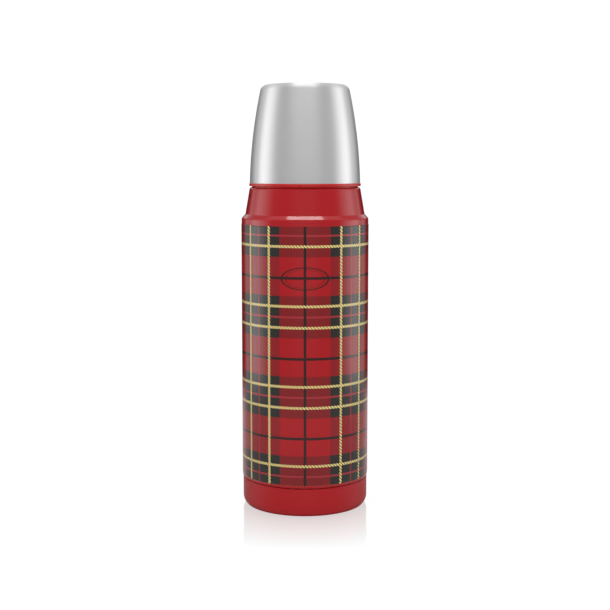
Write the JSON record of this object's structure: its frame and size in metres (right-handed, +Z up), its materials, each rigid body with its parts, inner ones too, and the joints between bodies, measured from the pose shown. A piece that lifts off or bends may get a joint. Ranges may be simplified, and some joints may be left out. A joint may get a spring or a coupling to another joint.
{
  "type": "vacuum flask",
  "caption": "Vacuum-insulated flask: painted steel body with a tartan wrap, tapered collar, twist-and-pour stopper under a screw-on steel cup, moulded base boot.",
  "frame": {"origin": "centre of the base, on the surface that the flask stands on", "axes": "+Z up along the flask's axis, -Y towards the viewer"},
  "size_m": [0.075, 0.075, 0.248],
  "materials": {
    "red_paint": "glossy red enamel",
    "tartan_print": "glossy printed film in a red tartan with dark bands and thin cream, black and red lines",
    "boot_plastic": "glossy moulded red",
    "cup_plastic": "smooth moulded red, a little more orange than the paint",
    "cup_steel": "fine brushing that runs round the cup",
    "satin_steel": "satin",
    "stopper_plastic": "fine moulded texture",
    "silicone": "translucent matt silicone",
    "pad_rubber": "matt",
    "foam": "closed-cell insulation foam",
    "foil": "bright foil",
    "getter_metal": "sintered pellet",
    "glass_solder": "fused bead"
  },
  "bodies": {
    "flask": {"outer_shell": "red_paint", "inner_flask": "satin_steel", "inner_neck": "satin_steel", "base_plate": "satin_steel", "vacuum_seal": "glass_solder", "getter": "getter_metal", "getter_bracket": "satin_steel", "radiation_foil": "foil", "body_wrap": "tartan_print", "base_boot": "boot_plastic", "foot_pad": "pad_rubber", "neck_thread_ring": "cup_plastic"},
    "cup_carrier": {"cup_insulation": "foam"},
    "cup": {"cup_shell": "cup_steel", "cup_liner": "cup_plastic"},
    "stopper_carrier": {"stopper_foam": "foam"},
    "stopper": {"stopper_body": "stopper_plastic", "stopper_lid": "cup_plastic", "stopper_base": "stopper_plastic", "stopper_seal": "silicone", "stopper_o_ring": "silicone"}
  },
  "joints": [
    {"name": "cup_rise", "type": "slide", "parent": "flask", "child": "cup_carrier", "axis": [0, 0, 1], "range_m": [0, 0.048]},
    {"name": "cup_turn", "type": "hinge", "parent": "cup_carrier", "child": "cup", "pos_m": [0, 0, 0.2], "axis": [0, 0, 1], "range_deg": [0, 1440]},
    {"name": "stopper_rise", "type": "slide", "parent": "flask", "child": "stopper_carrier", "axis": [0, 0, 1], "range_m": [0, 0.009]},
    {"name": "stopper_turn", "type": "hinge", "parent": "stopper_carrier", "child": "stopper", "pos_m": [0, 0, 0.2], "axis": [0, 0, 1], "range_deg": [0, 540]}
  ],
  "couplings": [
    {"joint": "cup_rise", "follows": "cup_turn", "m_per_rad": 0.0019099},
    {"joint": "stopper_rise", "follows": "stopper_turn", "m_per_rad": 0.00095493}
  ]
}
